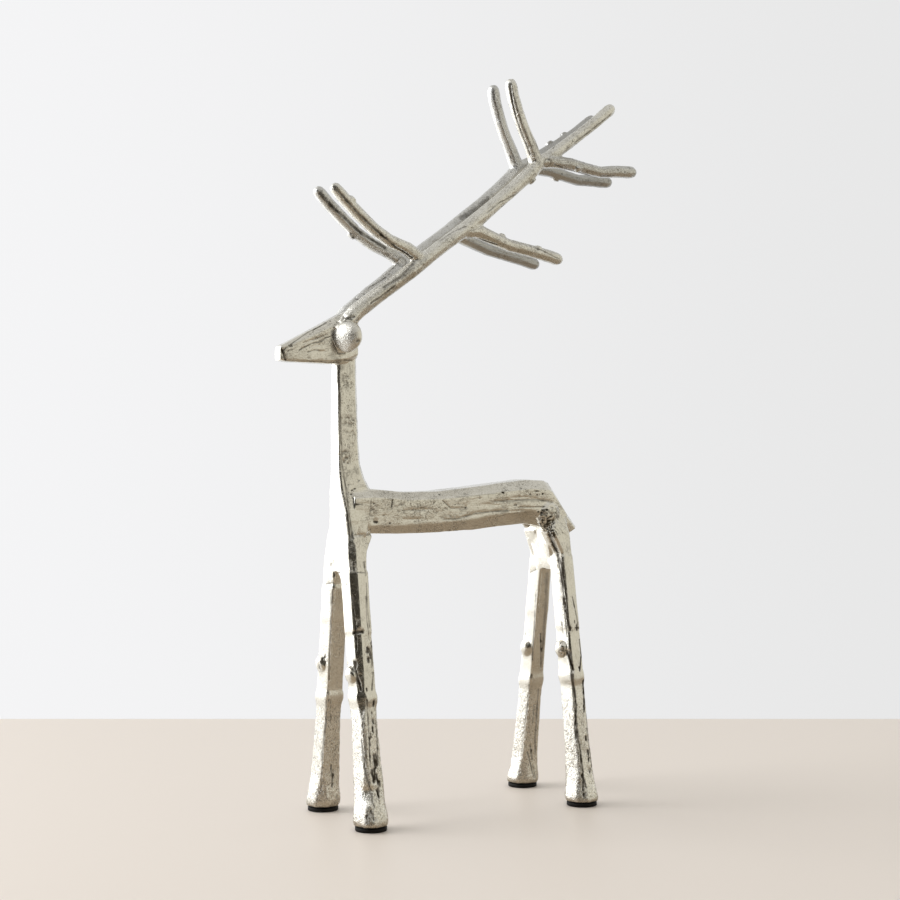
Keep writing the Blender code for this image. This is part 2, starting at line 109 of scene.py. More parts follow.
# Seams, ledges and scratches, with a few painted shadows: width and depth in mm, darkness, and the
# places each runs through
SEAMS = (
    # Trunk
    (1, 0.25, 0.55, (
        (11.4, 20.3, 167), (11.5, 33.8, 167.6), (11.5, 46.3, 168), (11.1, 58.4, 166.2),
    )),
    (0.8, 0.2, 0.5, ((11.5, 35.1, 163.6), (11.4, 49.6, 163.7), (13, 57.2, 163.2))),
    (0.9, 0.2, 0.55, (
        (11.5, 28.6, 162.2), (11.4, 18.4, 161.6), (11.3, 8.3, 160.9), (11.3, -2.3, 158.2),
        (11.3, -12.3, 157.6),
    )),
    (0.6, 0.15, 0.5, ((11.2, -37.2, 163.2), (11, -30.4, 163.3), (11.3, -23.3, 162.8))),
    (0.6, 0.15, 0.45, ((11.3, -12.9, 168.3), (11.3, -7.3, 163.6), (11.3, 2, 163.4))),
    (0.6, 0.12, 0.4, ((10.9, -4.6, 169.8), (11.3, 7.7, 170.5), (11.4, 21.6, 171.7))),
    (0.8, 0.2, 0.7, ((11.1, -42.8, 168.8), (11.1, -43.3, 165.1))),
    (0.9, 0.35, 0.6, ((12.5, -65.7, 150.7), (11.6, -61.1, 150.8), (9.4, -55.3, 151))),
    (0.6, 0.1, 0.5, ((10.7, -55.4, 168.9), (10.7, -56, 160.5), (9.1, -54.6, 153.1))),
    # Neck
    (1.1, 0.15, 0.6, (
        (3.7, -70.9, 238.2), (4.6, -70.9, 221.4), (4.8, -70.2, 210.9), (4.9, -69.8, 197.8),
        (5.2, -69.3, 187.3), (7.1, -68.5, 175.8), (9.6, -68.3, 165.4), (11.4, -67.4, 154.5),
        (12.3, -67.3, 149.3),
    )),
    (0.7, 0.15, 0.6, ((2.6, -71.8, 240.3), (5.8, -68.2, 242.4), (4.1, -63.3, 242.1))),
    # Left front leg
    (0.6, 0.1, 0.4, ((11.3, -69.7, 145.7), (12.4, -69.1, 144.7))),
    (0.7, 0.1, 0.5, ((16.6, -68.9, 119.5), (17.7, -68.8, 111.3))),
    (1.2, 0.05, 0.5, ((14.2, -61.3, 136.7), (15.4, -60.7, 130.0))),
    (0.8, 0.15, 0.66, ((16.3, -66.4, 131.8), (15.2, -60.6, 131.2))),
    (2, 0.4, 1, ((18.8, -69.4, 100.8), (20.6, -65.1, 101.3))),
    (1, 0.2, 1, ((17.4, -69, 112.8), (18.8, -68.5, 104.6), (20.3, -68.7, 91.9))),
    (1.7, 0.3, 0.84, ((19.7, -69.8, 85.7), (21.9, -69.2, 79.2), (23.7, -67.8, 71.6))),
    (0.9, 0.2, 0.96, ((25, -67.9, 60.4), (27.2, -68.1, 43.8), (29.3, -67.8, 31.3))),
    (1, 0.15, 0.72, (
        (25.9, -65.5, 66.5), (27, -65.7, 53.8), (29.5, -66.1, 36.3), (31.6, -66.6, 21.3),
    )),
    (0.7, 0.1, 0.54, ((17, -61.5, 119.2), (18.7, -61.8, 107.9), (19.9, -61.3, 96.6))),
    (0.8, 0.1, 0.72, ((24.8, -60.3, 66), (26.5, -60.3, 48.2), (29.2, -60.8, 33.2))),
    (1.0, 0.1, 0.7, (
        (25.9, -67.6, 54.8), (26.7, -68.4, 46.3), (28.3, -68.4, 36.3), (30.1, -67.3, 27.8),
        (33.2, -66.5, 18.0), (36.4, -67.6, 7.0),
    )),
    (0.8, 0.1, 0.6, (
        (25.8, -65.6, 66.5), (26.6, -65.5, 57.9), (27.1, -67.2, 47.8), (28.5, -67.5, 37.8),
    )),
    (0.7, 0.05, 0.5, ((15.9, -60.6, 125.9), (17.7, -61.0, 113.5), (19.0, -60.5, 103.2))),
    (1.0, 0.1, 0.8, ((19.8, -60.0, 94.9), (20.7, -59.9, 88.8), (21.6, -60.1, 82.7))),
    (1.2, 0.1, 0.7, ((22.1, -60.0, 79.6), (23.8, -61.7, 71.1))),
    # Right front leg
    (0.6, 0.1, 0.35, ((-7.0, -70.1, 134.2), (-4.7, -69.5, 135.4))),
    (1.3, 0.25, 0.6, ((-12, -70.7, 123.6), (-6, -68.9, 124.7))),
    (0.7, 0.1, 0.48, ((-14.5, -69.5, 61.6), (-18.5, -69.4, 39.6), (-20.9, -69.4, 12.4))),
    (0.7, 0.1, 0.48, ((-13.7, -66.9, 61.5), (-16.4, -66.2, 49.3))),
    (0.8, 0.1, 0.54, ((-7.1, -70.1, 121), (-9.8, -69.4, 99.5), (-13, -68.5, 72.4))),
    (0.8, 0.1, 0.55, (
        (-14.3, -69.2, 61.6), (-16.7, -68.6, 48.9), (-18.6, -69.3, 37.0), (-20.5, -69.7, 28.6),
    )),
    (0.8, 0.05, 0.5, (
        (-6.4, -69.6, 121.0), (-8.5, -69.5, 107.6), (-10.4, -69.1, 94.1), (-11.9, -69.4, 84.9),
    )),
    (1.4, 0.1, 0.6, ((-19.6, -64.2, 22.9), (-19.9, -63.1, 18.4), (-19.7, -63.6, 13.7))),
    # Left rear leg
    (2, 0.4, 1, ((12.6, 54.8, 147.9), (11.7, 58, 141.6), (12.4, 60.2, 137.7))),
    (1, 0.25, 1, (
        (13, 60.5, 137.1), (15.3, 60.3, 128.4), (17.8, 60.7, 117.4), (19.1, 60.8, 111.9),
        (20.5, 60.9, 105.4), (22.3, 61.7, 96.6),
    )),
    (0.8, 0.15, 1, ((18, 60.6, 114.1), (20.9, 60.6, 98.2), (21.7, 60.7, 91.6))),
    (0.7, 0.1, 0.72, ((18, 59.8, 99.7), (18.8, 60, 93.1))),
    (1.6, 0.35, 1, ((22.1, 60.4, 83.9), (24.5, 60.9, 79.2), (25.9, 61.9, 74.3))),
    (1, 0.2, 1, ((21.7, 69.1, 89.5), (22.8, 69.6, 81.2), (24.7, 67.4, 73.8))),
    (1, 0.2, 1, ((26.9, 61.3, 66.7), (28.6, 62.1, 54.8), (29.8, 60.6, 42.4), (30.8, 60.6, 37))),
    (1, 0.2, 0.9, ((25.6, 68.7, 67.2), (27.6, 68.4, 51.4))),
    (1.2, 0.2, 0.84, (
        (32.4, 62.1, 33.3), (33.6, 62, 26.4), (35.2, 62.3, 18.9), (36.9, 61.1, 9.5),
    )),
    (0.7, 0.1, 0.6, ((29.3, 68.3, 41.7), (30.2, 69, 35.1))),
    (3.0, 0, 0.8, (
        (13.6, 55.0, 147.9), (12.2, 57.9, 142.2), (12.9, 60.3, 136.6), (15.7, 60.6, 132.1),
    )),
    (1.6, 0.1, 0.85, ((15.7, 60.6, 132.3), (17.1, 60.8, 125.7), (18.1, 60.8, 118.5))),
    (1.0, 0.1, 0.7, (
        (19.1, 66.2, 113.3), (19.6, 66.8, 108.9), (20.2, 68.2, 102.2), (20.9, 68.8, 96.1),
    )),
    (0.9, 0.1, 0.8, ((22.1, 61.5, 97.2), (22.4, 63.6, 96.5))),
    (0.9, 0.1, 0.8, ((21.7, 66.0, 96.3), (20.7, 69.4, 96.1))),
    (1.6, 0.1, 0.8, ((26.4, 60.7, 71.1), (27.2, 61.7, 62.9), (27.9, 61.9, 58.5))),
    (1.0, 0.1, 0.7, (
        (28.2, 62.2, 57.5), (30.3, 60.8, 41.3), (32.6, 62.0, 32.2), (34.5, 61.8, 21.6),
        (37.3, 62.8, 11.0),
    )),
    (1.4, 0.1, 0.8, ((25.5, 68.9, 66.0), (26.2, 69.5, 58.0), (27.9, 67.8, 50.4))),
    (0.9, 0.1, 0.6, (
        (27.5, 69.7, 49.8), (29.0, 69.7, 41.1), (30.6, 69.9, 30.9), (32.6, 70.0, 20.5),
    )),
    # Right rear leg
    (2.2, 0, 0.45, (
        (-6.4, 65.8, 124.0), (-9.8, 67.0, 103.7), (-12.8, 67.5, 86.2), (-15.2, 67.4, 69.9),
    )),
    (1.2, 0.2, 0.72, ((-11.8, 65.2, 89.9), (-15.2, 67.4, 69.9))),
    (1.3, 0.2, 0.48, ((-13.7, 59, 124.9), (-8.8, 59.9, 126.9))),
    (0.8, 0.1, 0.6, ((-16.3, 59.9, 60.5), (-19.9, 60.2, 42.8))),
    (1.2, 0.2, 0.6, ((-21, 63.6, 25.1), (-22.1, 65.7, 16.1))),
    (0.8, 0.1, 0.6, ((-22.2, 66.4, 13.1), (-21.7, 67.5, 5.6))),
    (0.8, 0.1, 0.54, ((-9.3, 60.2, 115.5), (-11.7, 60.4, 95.3), (-14.1, 60.6, 75))),
    (0.7, 0.1, 0.4, (
        (-17.2, 59.8, 60.4), (-18.6, 60.4, 48.7), (-22.5, 59.7, 31.0), (-23.3, 59.4, 19.3),
    )),
    (1.0, 0.1, 0.4, ((-18.1, 64.5, 48.5), (-19.5, 64.4, 37.9))),
    (1.0, 0.2, 0.6, ((-21.1, 61.9, 21.2), (-21.8, 64.1, 14.5), (-21.6, 66.7, 6.2))),
    (1.2, 0, 0.5, (
        (-17.2, 66.6, 57.1), (-19.3, 66.9, 43.5), (-20.9, 66.9, 31.8), (-22.4, 67.9, 19.9),
    )),
    # Head
    # Painted shadow: soft bands with no depth under the jaw at the neck joint and beside the ear
    (3.0, 0, 0.35, ((6.3, -76.0, 244.8), (5.7, -72.2, 241.8), (4.2, -69.7, 238.2))),
    (2.0, 0, 0.35, ((7.0, -74.6, 259.4), (6.3, -75.4, 252.6), (6.3, -74.2, 246.4))),
    (0.7, 0.15, 0.75, (
        (3.8, -103.3, 246.2), (4.5, -98, 250.2), (3.2, -88.3, 256.3), (3.4, -78.6, 261.3),
    )),
    (1.2, 0.25, 0.9, ((3.8, -103.3, 246.7), (4, -102.5, 243.6), (3.8, -101.6, 241.6))),
    (0.6, 0.1, 0.5, ((4.2, -101.2, 246), (4.6, -98, 247.1))),
    (0.6, 0.15, 0.7, (
        (5, -94.2, 246.9), (5.7, -87.2, 250.4), (5.9, -82.7, 251.6), (6.1, -79.3, 253.8),
        (6.3, -76.5, 254.4),
    )),
    (0.6, 0.15, 0.55, ((5.5, -89.4, 246), (5.8, -84.9, 247.1), (5.9, -82.7, 246.7))),
    (0.5, 0.1, 0.4, ((5.1, -86.9, 252.3), (6.2, -78.2, 255.6))),
    (0.7, 0.1, 0.5, (
        (3.3, -101.4, 241.1), (5, -90.8, 241.3), (5.5, -82.5, 241.2), (5.2, -74.3, 240.9),
    )),
    # Painted shadow along the ear's lower edge, over a shallow groove
    (0.9, 0.2, 0.65, (
        (6.3, -75.4, 257.8), (6.3, -74.8, 250), (6.3, -72.5, 245.4), (6.2, -68.4, 246),
    )),
    # Antlers
    (1.5, 0.3, 0.75, (
        (12, -77.6, 331.5), (12.9, -71.7, 325.9), (13.1, -64.2, 318.8), (13.2, -56.1, 312.3),
        (13.3, -49, 307.2), (12.3, -40.8, 302), (11.9, -31.5, 297.3),
    )),
    (2, 0.25, 0.75, (
        (-6.6, -76.7, 330.9), (-6.5, -68.1, 323.1), (-6.5, -59.2, 316.2), (-6.6, -52.6, 311.3),
        (-6.7, -44.1, 307.6), (-6.5, -38.1, 304.2),
    )),
    (1.5, 0.2, 0.5, ((10.5, -47.6, 281.2), (12.2, -38.9, 286.8), (13.1, -31.6, 294))),
    (1.2, 0.2, 0.6, ((10.3, -55.2, 272.5), (10.7, -48.9, 276.4), (12, -41.8, 281.9))),
    (0.8, 0.15, 0.5, ((-4.8, -50.5, 281.3), (-4.5, -45.2, 284.2), (-5.1, -38.3, 288.4))),
    (0.8, 0.15, 0.45, ((11.7, -13.7, 308.3), (12.4, -7.3, 312.4), (13.8, 0.6, 316.2))),
    (1, 0.2, 0.5, ((14.3, 13.5, 324.1), (14.2, 21.8, 330.1), (12.9, 34.2, 336.7))),
    (0.9, 0.2, 0.6, ((12.9, 23.8, 328.1), (10.5, 32.1, 333.8))),
    (1.1, 0.25, 0.8, (
        (12.4, 29.7, 395.8), (12, 30.9, 387.7), (11.5, 33.8, 378.2), (11.5, 38.4, 367.6),
        (12, 42.6, 359),
    )),
    (0.8, 0.2, 0.7, ((-12, 38.2, 368.7), (-12.1, 40.7, 363.5))),
    (1, 0.2, 0.55, ((12.2, 73.1, 368.4), (11.7, 84.4, 376.3), (11.6, 96.8, 386))),
    (1, 0.25, 0.85, ((-8.7, 70.3, 372.8), (-9.9, 76.7, 376.3))),
    (1, 0.2, 0.6, ((11.3, 58.3, 363.9), (7.7, 66.7, 369.7))),
    (0.7, 0.15, 0.6, ((12.6, 89.2, 350.2), (13.1, 99.2, 351.3))),
    (0.9, 0.2, 0.6, ((13.4, 58.3, 354.1), (11.6, 69.5, 352.5), (10.2, 84, 350.5))),
    (1, 0.25, 0.9, ((11, 3.5, 310.2), (12, 12, 309.2), (12.8, 20.8, 307.3))),
    (0.8, 0.15, 0.55, ((13.9, 44.7, 307.5), (14.9, 50.7, 305), (15.2, 58.4, 302.1))),
    (3.0, 0.1, 0.45, ((-6.9, 9.9, 323.6), (-6.4, 21.4, 330.7), (-6.5, 26.6, 335.9))),
)
# Dark pits: place and radius
PITS = (
    # Trunk
    (8.9, -13.4, 171.2, 0.7), (11.5, 25.6, 171.9, 0.8), (11.5, 33.2, 164.9, 0.9),
    (11.5, 43.1, 170.7, 0.45), (11.5, 47.5, 172.2, 0.5), (11.5, 47.6, 170.4, 0.5),
    (11.4, 51.3, 170.6, 0.6), (10.9, -52.7, 157.3, 1), (11.1, -44.3, 156.3, 0.6),
    (10.8, -53.9, 164, 0.5), (10.8, -53.5, 166.8, 0.5), (11.3, -26.4, 165.5, 0.4),
    (11.3, -11, 164, 0.4), (11.3, 2, 164.3, 0.6), (11.3, -4.8, 165.5, 0.4),
    (11.3, 10.9, 169.1, 0.5), (10.5, 37.7, 174.2, 0.4), (11.8, 50.3, 160.2, 0.7),
    (13, 53.2, 161.8, 0.7), (13.3, 55.6, 157.9, 0.7), (12.8, 54.7, 155.7, 1.1),
    (10.9, 53.2, 152.3, 0.7), (15, 55.2, 150.7, 1), (13, 54.5, 148.5, 1.2),
    (13.1, 59.1, 160.1, 0.6), (11.4, 61.5, 162.8, 0.5), (12, 51.2, 156.3, 0.5),
    (13.5, 56.9, 154, 0.6), (12.9, 52.6, 158.5, 0.5), (11.4, 48.3, 160.8, 0.5),
    (8.4, 52.2, 151.7, 0.5),
    # Neck
    (4.7, -64.7, 215.7, 0.4), (4.8, -65.3, 212, 0.5), (4.8, -63, 211, 0.6),
    (4.8, -65.3, 208.9, 0.5), (4.8, -62.7, 209.4, 0.4), (4.9, -66, 200.7, 0.5),
    (5, -61.1, 193.1, 0.4), (5.8, -61.1, 183.1, 0.45), (6.3, -60.2, 179.4, 0.5),
    (5, -67.8, 194.2, 0.8), (5, -67.2, 191, 0.9), (5.1, -68.4, 188.9, 0.6),
    (5.1, -66.1, 188.4, 0.5), (4.4, -68.7, 231.9, 0.5), (4.5, -68.1, 229.3, 0.4),
    (4.6, -64.7, 224.1, 0.35), (7.4, -64.9, 174.2, 0.5), (7.3, -63.1, 174.7, 0.5),
    (6.8, -66.4, 176.9, 0.5), (7.9, -65.7, 172.1, 0.5),
    # Left front leg
    (20.5, -69.7, 83.7, 1.44), (20.2, -71.2, 82.2, 0.84), (19.6, -59.4, 95.6, 0.6),
    (20.8, -61.7, 91.5, 0.72), (21, -60.6, 88.4, 0.96), (20, -59.4, 92.8, 0.54),
    (25, -61.2, 63.5, 0.72), (25.4, -62.3, 59.5, 0.54), (26.4, -62.2, 52.4, 0.6),
    (27.7, -64.6, 48.7, 0.72), (28.5, -65.6, 44.8, 0.96), (28.7, -61.7, 37.8, 0.96),
    (29.3, -61.7, 34.3, 1.08), (30.6, -63.8, 30.6, 1.08), (31, -63.5, 27.6, 0.96),
    (31, -61.7, 24.8, 0.96), (31.8, -61.8, 21.4, 0.84), (32.8, -62.1, 18, 0.96),
    (24.7, -64.8, 71.5, 0.6), (35.1, -67.8, 10.8, 0.72), (34.8, -70, 8, 0.72),
    (35.2, -66.2, 13.7, 0.6), (25.1, -61.0, 64.5, 0.9), (25.9, -61.8, 55.1, 0.9),
    (26.8, -62.7, 51.0, 0.9), (28.1, -65.8, 46.3, 0.9), (29.3, -66.0, 37.8, 0.8),
    (29.1, -62.8, 36.9, 1.3), (29.8, -62.8, 33.4, 1.2), (30.9, -65.3, 29.8, 1.3),
    (31.5, -64.7, 26.7, 1.3), (30.7, -62.1, 27.4, 1.1), (31.1, -61.2, 23.8, 1.1),
    (32.5, -62.5, 19.5, 1.3), (21.1, -62.7, 91.6, 1.1), (21.7, -62.2, 86.5, 1.0),
    # Right front leg
    (-19.4, -64.2, 24.5, 0.84), (-20, -62.7, 19.5, 0.84), (-14.9, -71.7, 83.1, 1.08),
    (-14.7, -70, 85.1, 0.84), (-16.6, -72.6, 79.2, 0.72), (-14, -70.9, 81, 0.72),
    (-7, -70.1, 134.2, 0.6), (-5.5, -69.1, 129, 0.72), (-13.6, -68.2, 61.6, 0.48),
    # Left rear leg
    (18.8, 60.6, 110.8, 1.2), (22.6, 62.1, 96.6, 0.96), (21.2, 67.7, 96.2, 1.08),
    (21.1, 66.5, 99.6, 0.6), (19.3, 66.4, 111.7, 0.48), (19.5, 67.5, 107.8, 0.48),
    (23.6, 60.8, 81.9, 1.2), (24.8, 67, 73.8, 0.96), (25.2, 69.7, 66, 0.96),
    (25.9, 68.9, 61.1, 0.96), (26.6, 68.7, 56.8, 0.72), (27.5, 68.1, 52.5, 0.96),
    (30.7, 61.3, 40.8, 0.72), (30.4, 67.5, 36.4, 0.96), (31.5, 68.1, 28.8, 0.72),
    (32.1, 68.3, 25.6, 0.6), (33.4, 68.1, 19.2, 0.6), (35.3, 61.5, 16.8, 0.84),
    (37.8, 61.1, 6.9, 0.84), (19.5, 57.5, 87.7, 0.6), (21.3, 58.4, 84.5, 0.72),
    (30.4, 67.3, 36.4, 0.8), (31.6, 68.0, 28.3, 0.9), (32.4, 67.8, 24.6, 0.7),
    (33.8, 67.2, 18.8, 0.8),
    # Right rear leg
    (-9, 64.7, 106.2, 0.6), (-12.5, 65.6, 85.8, 0.72), (-13.5, 67, 80.4, 0.84),
    (-21.6, 64.7, 20.9, 0.96),
    # Head
    (4.5, -99.1, 248.9, 0.9), (3, -78.4, 261.8, 0.8), (4.4, -87.7, 255.4, 0.6),
    (5, -89.1, 254.1, 0.5), (4.3, -85.9, 256.5, 0.5), (3.9, -102.8, 243.1, 0.9),
    (18.9, -67.1, 251.6, 0.9), (5.9, -74.6, 261, 0.7), (5.8, -72.8, 262.1, 0.6),
    (9.6, -65.4, 264.8, 0.9), (3.6, -75.8, 262.7, 0.5),
    # Antlers
    (-8.1, -56.6, 308.6, 0.8), (14.7, 46.2, 306.4, 0.8), (12.9, 67.3, 365, 0.6),
    (12.5, 70.9, 368.7, 0.6), (12.1, 105.1, 357.8, 0.6), (14.2, 100.5, 354.6, 0.5),
    (14.4, 105.2, 353.8, 0.5), (14, 109, 356.5, 0.4), (-8, 1.1, 318.8, 0.5),
    (14.2, 4.1, 315.3, 0.5), (14.1, 21.9, 330.7, 0.5), (-7.4, 76.7, 353.5, 0.6),
    (-6.9, -33.1, 293.7, 0.5), (12.9, -71.7, 325.6, 0.5), (-6.6, -75.6, 332.1, 0.5),
)
# Scars where a sprue was broken off, each a low ring: centre and radius
SCARS = (
    (-6.3, -27.8, 297.2, 2.4), (13.9, 52.9, 354.6, 2.2), (-3.1, -54.9, 277.2, 2.6),
)
# The small knobs on the twigs of the antlers, which are worn low
KNOBS = (
    (11.8, 45.8, 343.6), (11.5, -65.4, 326.6), (13.9, 74.4, 352.4), (10.9, 26.0, 313.2),
    (12.5, 48.6, 307.4), (13.3, 56.2, 356.4), (-10.3, -56.6, 309.2), (-11.5, 75.3, 349.6),
    (-11.1, 46.2, 304.6), (-10.0, 69.6, 371.6), (-9.4, 79.4, 377.0),
)
# Places where the skin of the casting has crazed: centre, radius and darkness
CRAZED = (
    (12.4, 53.6, 155.1, 7.5, 1.0), (15.8, 55.3, 149.7, 5.5, 1.0),
    (-14.5, -71.3, 82.6, 3.6, 0.8), (19.9, -71.1, 82.7, 3.6, 0.8),
    (21.2, -61.9, 89.0, 4.0, 0.9), (21.0, 58.5, 82.8, 3.2, 0.8), (22.6, 62.8, 95.5, 2.5, 0.6),
    (10.4, 49.8, 155.6, 4.2, 0.7), (9.1, -68.6, 264.2, 4.0, 0.9), (8.8, -62.7, 262.3, 3.0, 0.8),
    (12.3, 59.5, 159.3, 4.5, 0.7), (4.7, -67.5, 231.5, 5.5, 0.45),
    (4.8, -65.0, 210.5, 4.5, 0.5), (5.0, -67.6, 191.5, 5.5, 0.6),
    (5.6, -68.0, 183.0, 5.0, 0.45), (7.2, -65.5, 174.5, 4.0, 0.4), (35.7, -68.7, 7.0, 5, 0.5),
    (-19.9, -60.4, 6.3, 3, 0.5),
)
# Places eaten by fine pores: centre, radius and how thickly
PORED = (
    (11.0, -50.2, 163.6, 9, 1), (11.1, -43.2, 162.4, 9, 1), (11.3, -35.4, 165.5, 9, 1),
    (11.3, -26.4, 162.1, 9, 1), (11.3, -17.8, 164.1, 8, 1), (11.3, -11.0, 161.3, 6, 0.8),
    (11.4, 20.3, 168.9, 6, 0.8), (11.5, 39.7, 170.9, 7, 0.9), (11.4, 49.6, 173.0, 6, 0.9),
    (9.9, -46.7, 170.9, 6, 0.8), (9.7, -31.6, 170.2, 6, 0.7), (4.8, -65.9, 211.0, 6, 0.7),
    (4.9, -66.6, 197.8, 6, 0.8), (5.5, -66.9, 184.7, 6, 0.7), (4.7, -66.9, 230.5, 7, 0.9),
    (5.0, -66.5, 191.0, 6, 0.9),
)

# Marks of the left side come back fainter and shifted on the unseen right side:
# which side, how strong, and how far along in mm
MIRRORED = ((1, 1.0, 0.0), (-1, 0.6, 3.5))
SHIFT_UP = 0.4  # how far a shifted mark moves up for each mm along
REACH = 4  # how far from its listed place a mark may look for the surface
TRUNK_TOP = 176  # pits are blackest on the trunk and the legs, below this height
LEG_TOP = 150  # pits below this height are drawn out upwards
SCAR_DEPTH, SCAR_DARKNESS = 0.18, 0.5

# How strong each part of the relief is, in mm
SWELL, HAMMER, GRAIN, COARSE, GRIT = 0.22, 0.16, 0.10, 0.10, 0.30
PORE, CRAZE, FROST = 0.12, 0.22, 0.32
SKIN = 0.05  # the whole surface is set back by this much, so that the relief stays inside
FOOT_FILL = 0.2  # the lower legs, which lose girth as they are rounded, are filled out again

WORN_LEVELS = 16  # steps of the rounding's strength from none to full
WORN_TURNS = 64  # turns of the smoothing that rounds worn places
KNOB_RISE = 1.0  # how far a knob stands out in mm
CORNER_FILL = 1.5  # how far the corner of the left front leg is filled out in mm
CORNER_FACES = (0.875, -0.485, 0)
PLACED_ON = 2.5, 4.5  # the relief fades in between these heights, above the pads
DARK_KEPT = 0.15  # places darker than this keep their fine faces

NOISE_TABLE = 8192
NOISE_KEYS = (73856093, 19349663, 83492791)
LIMB_STEP = 61.7  # shifts the grain of each limb, so that no two look alike

MASKS = ("alone", "dark", "frost", "planed", "patches", "gritty", "painted_bluish_and_rough", "painted_far_shade", "under")

METAL_LIGHT, METAL_DEEP = (0.82, 0.80, 0.745, 1), (0.76, 0.735, 0.675, 1)
# Painted light in the metal's colour: a painted bluish reflection on the antlers, and painted
# shade on their far side and rear
METAL_PAINTED_BLUISH_REFLECTION, METAL_PAINTED_FAR_SHADE = (0.57, 0.58, 0.60, 1), (0.37, 0.375, 0.385, 1)
# The first is a painted brown reflection of the table on the antlers' downward faces
METAL_PAINTED_BROWN_REFLECTION, METAL_GRIT = (0.40, 0.375, 0.30, 1), (0.50, 0.47, 0.40, 1)
# The first is painted glints on the grit
METAL_PAINTED_GLINT, METAL_CLOUD = (0.95, 0.94, 0.90, 1), (0.36, 0.325, 0.265, 1)
METAL_DOT, METAL_FROST = (0.15, 0.125, 0.095, 1), (0.62, 0.615, 0.60, 1)
# The patina of pits and seams, which also carries painted shadow by the ear and under the jaw
METAL_PATINA_AND_PAINTED_SHADOW = (0.050, 0.042, 0.032, 1)
RUBBER_DEEP, RUBBER_WORN = (0.003, 0.003, 0.003, 1), (0.010, 0.009, 0.008, 1)

# The rims of a pad: how far in from its side and how far from its bottom or top, in mm
PAD_UNDER = ((0.5, 0), (0.18, 0.10), (0, 0.45))
PAD_OVER = ((0, 0.40), (0.16, 0.10), (0.45, 0))
PAD_WAIST = 0.05
PAD_STEPS = 72

# The table in metres, from the feet towards the camera and to each side, and its colours
TABLE_BACK, TABLE_FRONT, TABLE_HALF, TABLE_THICK = 0.302, 1.35, 1.3, 0.03
TABLE_SEEN = (0.775, 0.705, 0.65, 1)
TABLE_DIM, TABLE_LIT = (0.40, 0.32, 0.235, 1), (0.97, 0.94, 0.90, 1)

# The studio as the metal mirrors it, and the wall as the camera sees it, from left to right
STUDIO_DIM, STUDIO_RIGHT = (0.030, 0.027, 0.020, 1), (0.745, 0.715, 0.61, 1)
STUDIO_FAR, STUDIO_LEFT = (0.85, 0.86, 0.87, 1), (2.6, 2.62, 2.6, 1)
STUDIO_UP = (0.68, 0.67, 0.63, 1)
WALL_LEFT, WALL_RIGHT = (0.915, 0.915, 0.925, 1), (0.80, 0.80, 0.80, 1)

KEY_PLACE = (0.1, -1.1, 1.0)  # metres towards the camera, to the right and up
KEY_SIZE, KEY_POWER, KEY_AIM = 0.9, 7, 0.2


def value_noise(p, period, seed):
    """Smooth noise from 0 to 1 at each row of p, with the given period."""
    p = p / period
    table = np.random.default_rng(seed).random(NOISE_TABLE)
    cell = np.floor(p).astype(np.int64)
    f = p - cell
    f = f * f * (3 - 2 * f)
    (x, y, z), (fx, fy, fz) = cell.T, f.T
    kx, ky, kz = NOISE_KEYS
    total = np.zeros(len(p))
    for dx in (0, 1):
        for dy in (0, 1):
            for dz in (0, 1):
                key = (x + dx) * kx ^ (y + dy) * ky ^ (z + dz) * kz
                weight = np.abs(1 - dx - fx) * np.abs(1 - dy - fy) * np.abs(1 - dz - fz)
                total += table[key & (NOISE_TABLE - 1)] * weight
    return total


def smooth(low, high, x):
    """From 0 at low to 1 at high, level at both ends."""
    t = np.clip((x - low) / (high - low), 0, 1)
    return t * t * (3 - 2 * t)


def limb_coordinates(p):
    """Places along and across the nearest limb, how rough it is, and how far from the next one."""
    best = np.full(len(p), 1e9)
    following = np.full(len(p), 1e9)
    rough = np.zeros(len(p))
    along = np.zeros((len(p), 3))
    for index, (start, end, half, cast) in enumerate(LIMBS):
        a, b = np.array(start, float), np.array(end, float)
        axis = (b - a) / np.linalg.norm(b - a)
        across = np.cross(axis, (1.0, 0, 0))
        across /= np.linalg.norm(across)
        other = np.cross(axis, across)
        offset = p - a
        s = offset @ axis
        held = np.clip(s, 0, np.linalg.norm(b - a))
        distance = np.linalg.norm(offset - held[:, None] * axis, axis=1) / half
        nearer = distance < best
        following = np.where(nearer, best, np.minimum(following, distance))
        best = np.where(nearer, distance, best)
        rough[nearer] = cast
        here = np.c_[s, offset @ across, offset @ other][nearer]
        along[nearer] = here + (LIMB_STEP * index, 0, 0)
    return along, rough, smooth(0.05, 0.6, following - best)


def distance_to(p, a, b):
    """How far each point is from the line between a and b."""
    axis = b - a
    share = np.clip((p - a) @ axis / (axis @ axis), 0, 1)
    return np.linalg.norm(p - a - share[:, None] * axis, axis=1)


